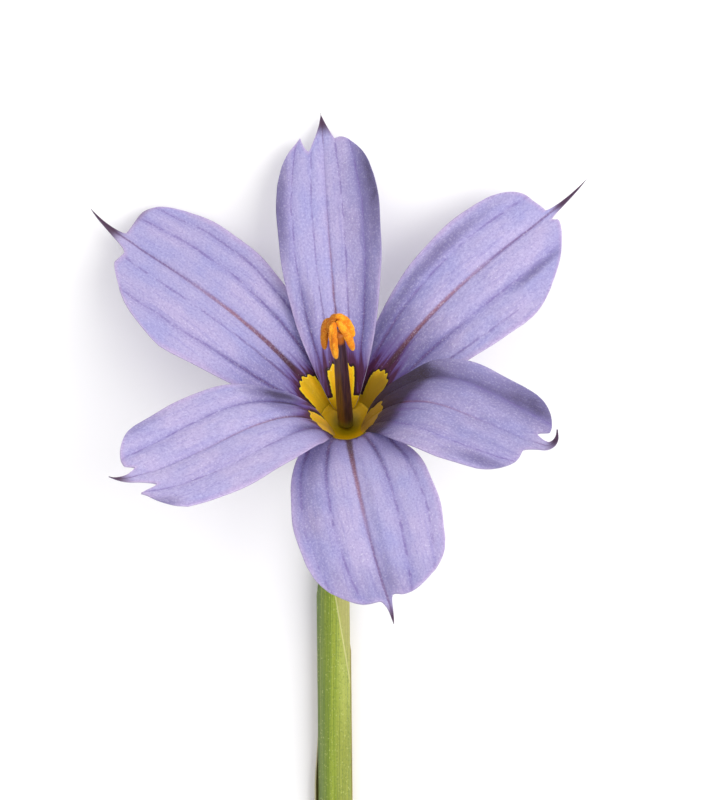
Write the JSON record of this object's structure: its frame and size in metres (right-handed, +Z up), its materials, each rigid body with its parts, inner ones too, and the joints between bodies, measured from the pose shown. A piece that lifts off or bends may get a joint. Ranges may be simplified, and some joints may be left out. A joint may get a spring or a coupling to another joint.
{
  "type": "blue-eyed grass flower",
  "caption": "Cut blue-eyed grass flower lying on its back: pale violet tepals with spiny tips round a yellow eye, orange anthers, and a flat green stem with its spathe",
  "frame": {"origin": "middle of the underside of the bounding box, on the surface that the flower lies on", "axes": "+Z up from the surface; +Y along the lying stem toward the flower; +X to the right as the camera sees it from above"},
  "size_m": [0.0202, 0.041, 0.0124],
  "materials": {
    "stem": "fibrous green stem tissue, satin",
    "outer_bract": "fibrous green bract tissue, satin",
    "inner_bract": "green bract tissue with a tan papery margin",
    "pedicel": "smooth green stalk, satin",
    "ovary": "smooth green ovary with fine hairs, satin",
    "outer_tepal": "thin violet petal tissue, finely grained, soft sheen",
    "inner_tepal": "thin violet petal tissue, finely grained, soft sheen",
    "filament": "dark maroon filament tissue, satin",
    "anther": "orange pollen, powdery"
  },
  "bodies": {
    "root": {"stem": "stem", "outer_bract": "outer_bract", "inner_bract": "inner_bract", "pedicel": "pedicel", "ovary": "ovary", "outer_tepal_left": "outer_tepal", "outer_tepal_right": "outer_tepal", "outer_tepal_low": "outer_tepal", "inner_tepal_top": "inner_tepal", "inner_tepal_left": "inner_tepal", "inner_tepal_right": "inner_tepal", "staminal_column": "filament", "anther_left": "anther", "anther_front": "anther", "anther_right": "anther"}
  },
  "joints": []
}
